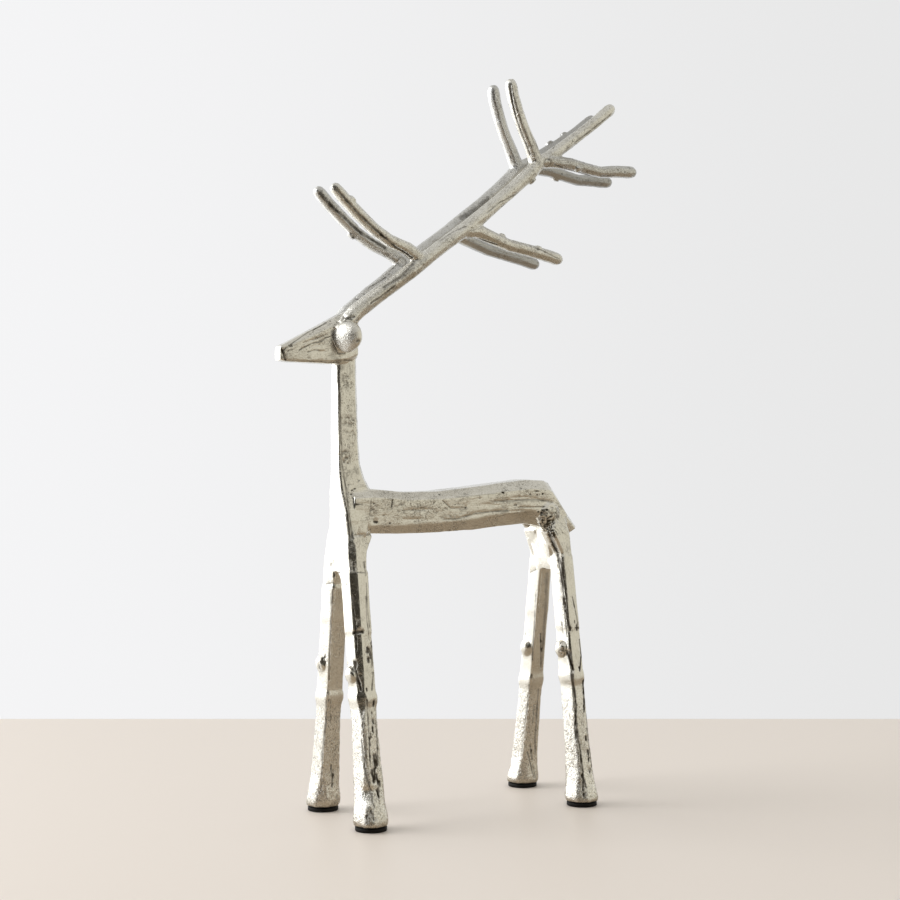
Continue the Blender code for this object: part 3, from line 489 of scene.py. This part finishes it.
def marks(p):
    """How deep and how dark the seams, scars and pits are at each point, some seams being painted
    shadows.
    """
    depth = np.zeros(len(p))
    dark = np.zeros(len(p))
    ragged = 0.55 + 0.9 * value_noise(p, 0.9, 21)
    broken = 0.45 + 0.75 * value_noise(p, 2.8, 22)
    order = np.argsort(p[:, 2])
    heights = p[order, 2]

    def within(low, high):
        first, last = np.searchsorted(heights, (low[2], high[2]))
        some = order[first:last]
        return some[((p[some] > low) & (p[some] < high)).all(axis=1)]

    def nearest(x, y, z, flip, shift):
        place = np.array((flip * x, y + shift, z + SHIFT_UP * shift))
        some = within(place - REACH, place + REACH)
        if not len(some):
            return None
        return p[some[np.argmin(((p[some] - place) ** 2).sum(axis=1))]]

    def press(a, b, radius, deep, black):
        near = within(np.minimum(a, b) - 2.5 * radius, np.maximum(a, b) + 2.5 * radius)
        fall = smooth(1.35, 0.45, distance_to(p[near], a, b) / (radius * ragged[near]))
        depth[near] = np.maximum(depth[near], deep * fall)
        dark[near] = np.maximum(dark[near], np.clip(black * fall * broken[near] * 1.25, 0, 1))

    for flip, faint, shift in MIRRORED:
        for width, deep, black, places in SEAMS:
            found = [nearest(*place, flip, shift) for place in places]
            found = [place for place in found if place is not None]
            for a, b in zip(found, found[1:]):
                if np.linalg.norm(a - b) > 0.1:
                    press(a, b, width / 2, faint * deep, faint * black)
        for x, y, z, radius in SCARS:
            centre = np.array((flip * x, y, z))
            near = within(centre - 5, centre + 5)
            off = np.abs(np.linalg.norm(p[near] - centre, axis=1) - radius)
            fall = smooth(0.55, 0.2, off)
            depth[near] = np.maximum(depth[near], SCAR_DEPTH * fall)
            dark[near] = np.maximum(dark[near], SCAR_DARKNESS * faint * fall * broken[near])
        for x, y, z, radius in PITS:
            place = nearest(x, y, z, flip, shift)
            if place is not None:
                length = np.array((0, 0, 1.1) if z < LEG_TOP else (0, 0.5, 0)) * radius
                black = 0.97 if z < TRUNK_TOP else 0.65
                ends = place - length, place + length
                press(*ends, 0.78 * radius, 0.25 * faint * radius, black * faint)
    return depth, dark


def around(p, places):
    """How far each point lies within any of the round places."""
    share = np.zeros(len(p))
    for x, y, z, radius, strength in places:
        for flip, faint, _ in MIRRORED:
            off = np.linalg.norm(p - (flip * x, y, z), axis=1) / radius
            share = np.maximum(share, faint * strength * smooth(1.0, 0.45, off))
    return share


def ear_fronts(p, normals):
    """How far each point lies on the frosty front of an ear."""
    frost = np.zeros(len(p))
    for centre in EARS:
        off = np.linalg.norm((p - np.array(centre)) * (1, 1.15, 0.93), axis=1)
        near = smooth(9.0, 7.0, off)
        ahead = smooth(0.35, -0.1, normals[:, 1])
        frost = np.maximum(frost, near * (np.abs(p[:, 0]) > 6.4) * ahead)
    return frost


def tones(p, normals):
    """Where the metal is gritty or planed smooth, and where the antlers get a painted bluish
    reflection, painted shade and a painted brown reflection from below.
    """
    x, y, z = p.T
    legs = smooth(140, 125, z)
    low = smooth(68, 52, z)
    horn = smooth(258, 270, z)
    # A painted bluish reflection on the antlers, strongest on the far side; the same mask roughens
    # them
    painted_bluish_and_rough = horn * np.where(x < 0, 1.0, 0.4)
    right = 1.0 * (x < 0)
    # Painted shade on the rear and the far side of the antlers
    hind = np.maximum(right, smooth(364, 358, z) * smooth(330, 340, z)) * smooth(50, 58, y)
    painted_far_shade = horn * np.maximum(hind, right * smooth(12, 20, y) * smooth(322, 316, z))
    inner = 0.45 * smooth(134, 126, z) * (x < 0) * (y < 0)
    gritty = np.maximum(np.maximum(low, inner), horn * np.where(x < 0, 0.15, 0.5))
    planed = np.maximum(smooth(0.55, 0.9, -normals[:, 1]) * (z < 240), 0.6 * legs)
    planed = planed * (1 - 0.7 * low)
    # A painted brown reflection of the table on the antlers' downward faces
    under = horn * np.where(x < 0, 0.5, 1.0) * smooth(0.1, -0.6, normals[:, 2]) * (1 - 0.7 * painted_far_shade)
    return {"painted_bluish_and_rough": painted_bluish_and_rough, "painted_far_shade": painted_far_shade, "gritty": gritty, "planed": planed, "under": under}


def relief(p, normals):
    """The relief of the surface in mm, and the masks by which the metal darkens or roughens."""
    along, rough, alone = limb_coordinates(p)
    masks = tones(p, normals)
    planed, gritty = masks["planed"], masks["gritty"]
    swell = value_noise(along, (12, 6, 6), 1) - 0.5
    hammered = value_noise(p, 4.2, 2) - 0.5
    grain = value_noise(along, (9, 1.3, 1.3), 3) - 0.5
    grit = value_noise(along, (1.5, 0.8, 0.8), 9) - 0.5
    coarse = value_noise(p, 1.25, 4)
    pores = value_noise(p, 0.95, 5)
    patches = 0.75 * smooth(0.46, 0.66, value_noise(p, 9, 6)) * rough
    patches = np.maximum(patches, around(p, PORED))
    cracks = np.abs(2 * value_noise(p, (1.2, 1.2, 1.6), 11) - 1)
    crazed = around(p, CRAZED) * smooth(0.34, 0.12, cracks)
    pitted = smooth(0.62, 0.85, pores) * patches * (1 - 0.8 * planed)
    height = (SWELL * swell + HAMMER * hammered) * (1 - 0.6 * planed)
    height = height + GRAIN * grain * alone * rough * (1 - planed)
    height += COARSE * (coarse - 0.5) * patches + GRIT * grit * gritty
    height -= PORE * pitted + CRAZE * crazed
    depth, dark = marks(p)
    frost = ear_fronts(p, normals)
    height += frost * FROST * (value_noise(p, 0.85, 8) - 0.5)
    dark = np.maximum(dark, np.maximum(0.5 * pitted, 0.95 * crazed) * (1 - frost))
    masks.update(alone=alone * (1 - frost), dark=dark, frost=frost, patches=patches)
    return height - depth - SKIN + FOOT_FILL * smooth(66, 56, p[:, 2]), along, masks


def flatten_ears(p):
    """Press the front of each ear to a blunt face that looks ahead and outwards."""
    for centre in EARS:
        ahead = np.array((0.62 * np.sign(centre[0]), -0.78, 0.05))
        offset = p - np.array(centre)
        near = smooth(10.5, 8.0, np.linalg.norm(offset, axis=1)) * (np.abs(p[:, 0]) > 7.2)
        beyond = np.maximum(offset @ ahead - 4.6, 0)
        p = p - (0.75 * near * beyond)[:, None] * ahead
    return p


def places_of(mesh):
    values = np.empty(len(mesh.vertices) * 3, np.float32)
    mesh.vertices.foreach_get("co", values)
    return values.reshape(-1, 3).astype(float)


def normals_of(mesh):
    values = np.empty(len(mesh.vertices) * 3, np.float32)
    mesh.vertex_normals.foreach_get("vector", values)
    return values.reshape(-1, 3).astype(float)


def own_places(mesh):
    """Where the points lie in mm from the feet."""
    return (places_of(mesh) - ORIGIN) / MM


def move_to(mesh, places):
    mesh.vertices.foreach_set("co", places.astype(np.float32).ravel())
    mesh.update()


def give(mesh, name, values):
    """Store values at the points under a name that the material reads."""
    kind, key = ("FLOAT_VECTOR", "vector") if values.ndim == 2 else ("FLOAT", "value")
    made = mesh.attributes.new(name, kind, "POINT")
    made.data.foreach_set(key, np.ascontiguousarray(values, np.float32).ravel())


def apply_modifiers(obj):
    graph = bpy.context.evaluated_depsgraph_get()
    mesh = bpy.data.meshes.new_from_object(obj.evaluated_get(graph))
    obj.modifiers.clear()
    old = obj.data
    obj.data = mesh
    bpy.data.meshes.remove(old)
    return mesh


def fill_corner(mesh):
    """Fill out the planed near corner of the left front leg below its ring."""
    p = own_places(mesh)
    normals = normals_of(mesh)
    share = smooth(0.93, 0.99, normals @ CORNER_FACES) * smooth(64, 54, p[:, 2])
    share = share * (p[:, 0] > 0) * (p[:, 1] < 0)
    p += (CORNER_FILL * share)[:, None] * normals
    move_to(mesh, p * MM + ORIGIN)


def settle_knobs(mesh):
    """Lower the knobs on the twigs to mounds that stand out by little more than a millimetre."""
    p = own_places(mesh)
    normals = normals_of(mesh)
    for place in KNOBS:
        away = np.linalg.norm(p - place, axis=1)
        out = normals[away < 4.0].sum(axis=0)
        out /= max(np.linalg.norm(out), 1e-9)
        level = (p - place) @ out
        rim = (away > 3.2) & (away < 5.0) & (normals @ out > 0.8)
        if rim.any():
            beyond = np.maximum(level - np.median(level[rim]) - KNOB_RISE, 0) * (away < 3.6)
            p -= (0.8 * beyond)[:, None] * out
    move_to(mesh, p * MM + ORIGIN)


def worn(p):
    """How strongly each point is rounded: lower legs, antlers, right rear leg, rings and knobs."""
    tall = p[:, 2]
    share = np.maximum(smooth(66, 54, tall), 0.28 * smooth(262, 274, tall))
    share = np.maximum(share, 0.7 * smooth(142, 136, tall) * (p[:, 0] < 0) * (p[:, 1] > 30))
    share = np.maximum(share, 0.3 * smooth(80, 72, tall))
    for place in KNOBS:
        share = np.maximum(share, 0.45 * smooth(4.5, 3.0, np.linalg.norm(p - place, axis=1)))
    return share


def soften(obj, name, turns, group=""):
    made = obj.modifiers.new(name, "SMOOTH")
    made.factor = 0.5
    made.iterations = turns
    made.vertex_group = group


def detailed_casting():
    """The casting as one fine mesh with the relief of its cast and worked surface."""
    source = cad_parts["reindeer_casting"]
    obj = bpy.data.objects.new("reindeer_figure", source.data.copy())
    bpy.context.scene.collection.objects.link(obj)
    obj.data.materials.clear()
    remesh = obj.modifiers.new("even faces", "REMESH")
    remesh.mode = "VOXEL"
    remesh.voxel_size = VOXEL
    soften(obj, "worn edges", 2)
    mesh = apply_modifiers(obj)
    fill_corner(mesh)
    settle_knobs(mesh)
    group = obj.vertex_groups.new(name="worn_round")
    level = np.round(WORN_LEVELS * worn(own_places(mesh))).astype(int)
    for step in range(1, WORN_LEVELS + 1):
        group.add(np.where(level == step)[0].tolist(), step / WORN_LEVELS, "REPLACE")
    soften(obj, "round worn places", WORN_TURNS, group.name)
    mesh = apply_modifiers(obj)
    p = flatten_ears(own_places(mesh))
    places = p * MM + ORIGIN
    move_to(mesh, places)
    normals = normals_of(mesh)
    height, _, masks = relief(p, normals)
    places += normals * (height * smooth(*PLACED_ON, p[:, 2]))[:, None] * MM
    move_to(mesh, np.clip(places, *BOX))
    kept = obj.vertex_groups.new(name="kept_fine")
    kept.add(np.where(masks["dark"] > DARK_KEPT)[0].tolist(), 1.0, "REPLACE")
    thin = obj.modifiers.new("fewer faces", "DECIMATE")
    thin.ratio = min(1.0, TRIANGLES / sum(len(f.vertices) - 2 for f in mesh.polygons))
    thin.vertex_group = kept.name
    thin.invert_vertex_group = True
    thin.vertex_group_factor = 4.0
    mesh = apply_modifiers(obj)
    places = np.clip(places_of(mesh), *BOX)
    move_to(mesh, places)
    _, along, masks = relief((places - ORIGIN) / MM, normals_of(mesh))
    give(mesh, "grain", along)
    for name in MASKS:
        give(mesh, name, masks[name])
    mesh.shade_smooth()
    return obj


class Nodes:
    """Short names for making a material's nodes."""

    def __init__(self, tree):
        self.tree = tree

    def new(self, kind, inputs=None, **settings):
        node = self.tree.nodes.new(kind)
        for key, value in settings.items():
            setattr(node, key, value)
        for key, value in (inputs or {}).items():
            self.put(node.inputs[key], value)
        return node

    def put(self, socket, value):
        if isinstance(value, bpy.types.NodeSocket):
            self.tree.links.new(value, socket)
        else:
            socket.default_value = value

    def math(self, operation, *values):
        node = self.new("ShaderNodeMath", operation=operation)
        for socket, value in zip(node.inputs, values):
            self.put(socket, value)
        return node.outputs[0]

    def times(self, a, b):
        return self.math("MULTIPLY", a, b)

    def plus(self, a, b):
        return self.math("ADD", a, b)

    def less(self, a, b):
        return self.math("SUBTRACT", a, b)

    def most(self, a, b):
        return self.math("MAXIMUM", a, b)

    def vector(self, operation, a, b, out):
        node = self.new("ShaderNodeVectorMath", operation=operation)
        self.put(node.inputs[0], a)
        self.put(node.inputs[1], b)
        return node.outputs[out]

    def scaled(self, vector, factors):
        return self.vector("MULTIPLY", vector, factors, "Vector")

    def coordinates(self, kind):
        return self.new("ShaderNodeTexCoord").outputs[kind]

    def in_mm(self):
        return self.scaled(self.coordinates("Object"), (1 / MM, 1 / MM, 1 / MM))

    def noise(self, vector, scale, detail=2.0, roughness=0.5):
        inputs = {"Vector": vector, "Scale": scale, "Detail": detail, "Roughness": roughness}
        return self.new("ShaderNodeTexNoise", inputs).outputs["Fac"]

    def cells(self, vector, scale):
        inputs = {"Vector": vector, "Scale": scale}
        return self.new("ShaderNodeTexVoronoi", inputs).outputs["Distance"]

    def attribute(self, name, out="Fac"):
        return self.new("ShaderNodeAttribute", attribute_name=name).outputs[out]

    def ramp(self, value, low, high, to_low=0.0, to_high=1.0):
        inputs = {
            "Value": value, "From Min": low, "From Max": high, "To Min": to_low, "To Max": to_high,
        }
        node = self.new("ShaderNodeMapRange", inputs, interpolation_type="SMOOTHSTEP")
        return node.outputs["Result"]

    def mix(self, factor, a, b):
        node = self.new("ShaderNodeMix", data_type="RGBA")
        self.put(node.inputs[0], factor)
        self.put(node.inputs[6], a)
        self.put(node.inputs[7], b)
        return node.outputs[2]

    def seen(self):
        return self.new("ShaderNodeLightPath").outputs["Is Camera Ray"]

    def bump(self, height, strength, distance):
        inputs = {"Height": height, "Strength": strength, "Distance": distance}
        return self.new("ShaderNodeBump", inputs).outputs[0]


def new_material(name):
    made = bpy.data.materials.new(name)
    made.use_nodes = True
    return made, Nodes(made.node_tree), made.node_tree.nodes["Principled BSDF"].inputs


def metal_dots(n, mm, grain, grit, streaks, mask):
    """Specks, flecks, hair lines and eaten places, which show dark on the bare metal."""
    specks = n.times(n.ramp(n.cells(mm, 0.95), 0.30, 0.14), mask["open"])
    specks = n.times(specks, n.ramp(n.noise(mm, 0.16, 2.0, 0.6), 0.47, 0.60))
    lines = n.ramp(n.math("ABSOLUTE", n.less(streaks, 0.5)), 0.022, 0.0)
    lines = n.times(n.times(lines, mask["alone"]), n.ramp(n.noise(mm, 0.11), 0.50, 0.62))
    lines = n.times(lines, mask["open"])
    eaten = n.most(mask["patches"], n.times(mask["gritty"], 0.4))
    eaten = n.times(n.ramp(grit, 0.53, 0.60), eaten)
    eaten = n.times(n.times(eaten, mask["open"]), n.ramp(n.noise(mm, 0.12), 0.43, 0.56))
    flecks = n.ramp(n.cells(n.scaled(grain, (0.6, 1, 1)), 0.95), 0.36, 0.22)
    flecks = n.times(flecks, mask["gritty"])
    flecks = n.times(flecks, n.ramp(n.noise(mm, 0.30), 0.40, 0.52))
    dots = n.most(n.most(specks, flecks), n.times(lines, 0.7))
    dots = n.most(dots, n.times(eaten, 0.75))
    return n.times(dots, n.less(1.0, mask["frost"]))


def metal_colour(n, mm, fine, grit, dots, mask):
    """The colour of the metal, from its bright ground to its blackened marks, with painted shadow,
    painted shade, painted reflections and painted glints.
    """
    broad = n.noise(mm, 0.07)
    bright = n.mix(broad, METAL_LIGHT, METAL_DEEP)
    # Painted bluish reflection on the antlers
    bright = n.mix(n.times(mask["painted_bluish_and_rough"], 0.8), bright, METAL_PAINTED_BLUISH_REFLECTION)
    # Painted shade on the antlers' far side and rear
    bright = n.mix(n.times(mask["painted_far_shade"], 0.75), bright, METAL_PAINTED_FAR_SHADE)
    # Painted brown reflection of the table on the antlers' downward faces
    under = n.times(mask["under"], n.ramp(broad, 0.35, 0.65, 0.35, 0.75))
    bright = n.mix(under, bright, METAL_PAINTED_BROWN_REFLECTION)
    bright = n.mix(n.ramp(grit, 0.40, 0.62, 0.0, 0.30), bright, METAL_GRIT)
    # Painted glints on the grit
    painted_glints = n.times(n.times(mask["gritty"], 0.8), n.ramp(grit, 0.62, 0.40))
    bright = n.mix(painted_glints, bright, METAL_PAINTED_GLINT)
    cloudy = n.times(n.ramp(fine, 0.58, 0.40), n.times(mask["patches"], 0.10))
    colour = n.mix(cloudy, bright, METAL_CLOUD)
    colour = n.mix(n.times(dots, 0.62), colour, METAL_DOT)
    colour = n.mix(n.times(mask["frost"], 0.5), colour, METAL_FROST)
    # Blackened patina of pits and seams, and painted shadow by the ear and under the jaw
    return n.mix(mask["dark"], colour, METAL_PATINA_AND_PAINTED_SHADOW)


def metal_height(n, mm, fine, grit, streaks, dots, mask):
    """The finest relief in mm, which is bump alone."""
    height = n.times(fine, n.plus(0.05, n.times(mask["frost"], 0.22)))
    drawn = n.times(n.times(mask["alone"], mask["open"]), 0.09)
    height = n.plus(height, n.times(streaks, drawn))
    height = n.plus(height, n.times(n.noise(mm, 0.38), n.times(mask["open"], 0.14)))
    height = n.plus(height, n.times(grit, n.plus(0.03, n.times(mask["gritty"], 0.25))))
    return n.less(height, n.times(dots, 0.07))


def cast_metal():
    """Bright cast aluminium, warm in tone, whose pits and seams have gone dark; painted light and
    shade are laid into its colour.
    """
    made, n, shader = new_material("cast_aluminium")
    mm = n.in_mm()
    grain = n.attribute("grain", "Vector")
    mask = {name: n.attribute(name) for name in MASKS}
    mask["open"] = n.less(1.0, n.times(mask["planed"], 0.8))
    streaks = n.noise(n.scaled(grain, (0.10, 1, 1)), 0.9, 3.0, 0.6)
    fine = n.noise(mm, 1.5, 3.0, 0.65)
    grit = n.noise(n.scaled(grain, (0.55, 1, 1)), 1.9, 2.0, 0.6)
    dots = metal_dots(n, mm, grain, grit, streaks, mask)
    n.put(shader["Base Color"], metal_colour(n, mm, fine, grit, dots, mask))
    shader["Metallic"].default_value = 1.0
    rough = n.plus(n.ramp(fine, 0.3, 0.7, 0.15, 0.27), n.times(mask["dark"], 0.30))
    rough = n.plus(rough, n.times(mask["painted_bluish_and_rough"], 0.13))
    n.put(shader["Roughness"], n.plus(rough, n.times(mask["frost"], 0.20)))
    height = metal_height(n, mm, fine, grit, streaks, dots, mask)
    n.put(shader["Normal"], n.bump(height, 1.0, 1.0 * MM))
    return made


def black_rubber():
    """Nearly black, matte rubber, a little paler where it has worn."""
    made, n, shader = new_material("black_pad_rubber")
    fine = n.noise(n.in_mm(), 2.4, 4.0, 0.6)
    n.put(shader["Base Color"], n.mix(fine, RUBBER_DEEP, RUBBER_WORN))
    shader["Specular IOR Level"].default_value = 0.25
    n.put(shader["Roughness"], n.ramp(fine, 0.3, 0.7, 0.55, 0.75))
    n.put(shader["Normal"], n.bump(fine, 0.5, 0.08 * MM))
    return made


def rounded_pad(node, material):
    """A stick-on pad: a disc with softly rounded rims and a slightly hollowed edge."""
    low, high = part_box(node)
    centre = (low + high) / 2
    radius = (high.x - low.x) / 2
    tall = high.z - low.z
    profile = [(radius - inwards * MM, up * MM) for inwards, up in PAD_UNDER]
    profile.append((radius - PAD_WAIST * MM, tall / 2))
    profile += [(radius - inwards * MM, tall - down * MM) for inwards, down in PAD_OVER]
    turns = [2 * math.pi * i / PAD_STEPS for i in range(PAD_STEPS)]
    verts = [(0, 0, 0), (0, 0, tall)]
    for r, z in profile:
        verts += [(r * math.cos(turn), r * math.sin(turn), z) for turn in turns]
    faces = []
    rings = len(profile)
    top = 2 + (rings - 1) * PAD_STEPS
    for i in range(PAD_STEPS):
        j = (i + 1) % PAD_STEPS
        faces.append((0, 2 + j, 2 + i))
        faces.append((1, top + i, top + j))
        for k in range(rings - 1):
            at = 2 + k * PAD_STEPS
            faces.append((at + i, at + j, at + PAD_STEPS + j, at + PAD_STEPS + i))
    mesh = bpy.data.meshes.new(node + "_disc")
    mesh.from_pydata([(x + centre.x, y + centre.y, z + low.z) for x, y, z in verts], [], faces)
    mesh.shade_smooth()
    mesh.materials.append(material)
    obj = bpy.data.objects.new(node + "_disc", mesh)
    bpy.context.scene.collection.objects.link(obj)
    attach(obj, "root")
    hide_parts(node)


def table():
    """A plain pale table top, whose back edge lies behind the figure as the photograph shows."""
    ends = ((-TABLE_BACK, -TABLE_HALF), (-TABLE_BACK, TABLE_HALF),
            (TABLE_FRONT, TABLE_HALF), (TABLE_FRONT, -TABLE_HALF))
    tops = [tuple(FEET + AWAY * d + RIGHT * w) for d, w in ends]
    lows = [(x, y, z - TABLE_THICK) for x, y, z in tops]
    sides = [(i, (i + 1) % 4, 4 + (i + 1) % 4, 4 + i) for i in range(4)]
    mesh = bpy.data.meshes.new("table_top")
    mesh.from_pydata(tops + lows, [], [(0, 1, 2, 3), (7, 6, 5, 4)] + sides)
    made, n, shader = new_material("pale_table")
    place = n.new("ShaderNodeSeparateXYZ", {"Vector": n.coordinates("Object")}).outputs
    lit = n.plus(n.times(place["X"], 0.87), n.times(place["Y"], 0.5))
    mirrored = n.mix(n.ramp(lit, -0.05, -0.13), TABLE_DIM, TABLE_LIT)
    n.put(shader["Base Color"], n.mix(n.seen(), mirrored, TABLE_SEEN))
    shader["Roughness"].default_value = 0.5
    mesh.materials.append(made)
    obj = bpy.data.objects.new("table_top", mesh)
    bpy.context.scene.collection.objects.link(obj)


def surroundings():
    """A pale studio: bright to the left, softer to the right, dim behind the camera."""
    world = bpy.data.worlds.new("studio")
    bpy.context.scene.world = world
    world.use_nodes = True
    back = world.node_tree.nodes["Background"]
    n = Nodes(world.node_tree)
    way = n.coordinates("Generated")

    def part(direction):
        return n.vector("DOT_PRODUCT", way, direction, "Value")

    def turned(value, low, high):
        return n.ramp(value, math.radians(low), math.radians(high))

    near, right, up = part(AWAY), part(RIGHT), part((0, 0, 1))
    angle = n.math("ARCTAN2", right, near)
    left_side = n.times(turned(angle, -48, -70), turned(angle, -168, -140))
    far_side = turned(n.math("ABSOLUTE", angle), 105, 145)
    colour = n.mix(turned(angle, 12, 40), STUDIO_DIM, STUDIO_RIGHT)
    colour = n.mix(far_side, colour, STUDIO_FAR)
    colour = n.mix(left_side, colour, STUDIO_LEFT)
    colour = n.mix(n.ramp(up, 0.35, 0.75), colour, STUDIO_UP)
    wall = n.mix(n.ramp(right, -0.35, 0.35), WALL_LEFT, WALL_RIGHT)
    n.put(back.inputs["Color"], n.mix(n.seen(), colour, wall))
    back.inputs["Strength"].default_value = 1.0


def key_light():
    """One large soft lamp above and to the left."""
    lamp = bpy.data.lights.new("key_light", "AREA")
    lamp.size = KEY_SIZE
    lamp.energy = KEY_POWER
    obj = bpy.data.objects.new("key_light", lamp)
    near, right, up = KEY_PLACE
    obj.location = FEET + AWAY * near + RIGHT * right + Vector((0, 0, up))
    target = FEET + Vector((0, 0, KEY_AIM))
    obj.rotation_euler = (obj.location - target).to_track_quat("Z", "Y").to_euler()
    bpy.context.scene.collection.objects.link(obj)


def photograph_camera():
    data = bpy.data.cameras.new("camera")
    data.lens = LENS
    data.sensor_width = SENSOR
    camera = bpy.data.objects.new("camera", data)
    place = AWAY * CAMERA_AWAY + RIGHT * CAMERA_RIGHT + Vector((0, 0, CAMERA_HEIGHT))
    camera.location = FEET + place * MM
    camera.rotation_euler = AWAY.to_track_quat("Z", "Y").to_euler()
    bpy.context.scene.collection.objects.link(camera)
    bpy.context.scene.camera = camera


photograph_camera()
figure = detailed_casting()
figure.data.materials.append(cast_metal())
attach(figure, "root")
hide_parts("reindeer_casting")
rubber = black_rubber()
for pad in PADS:
    rounded_pad(pad, rubber)
table()
surroundings()
key_light()
bpy.context.scene.view_settings.view_transform = "Standard"
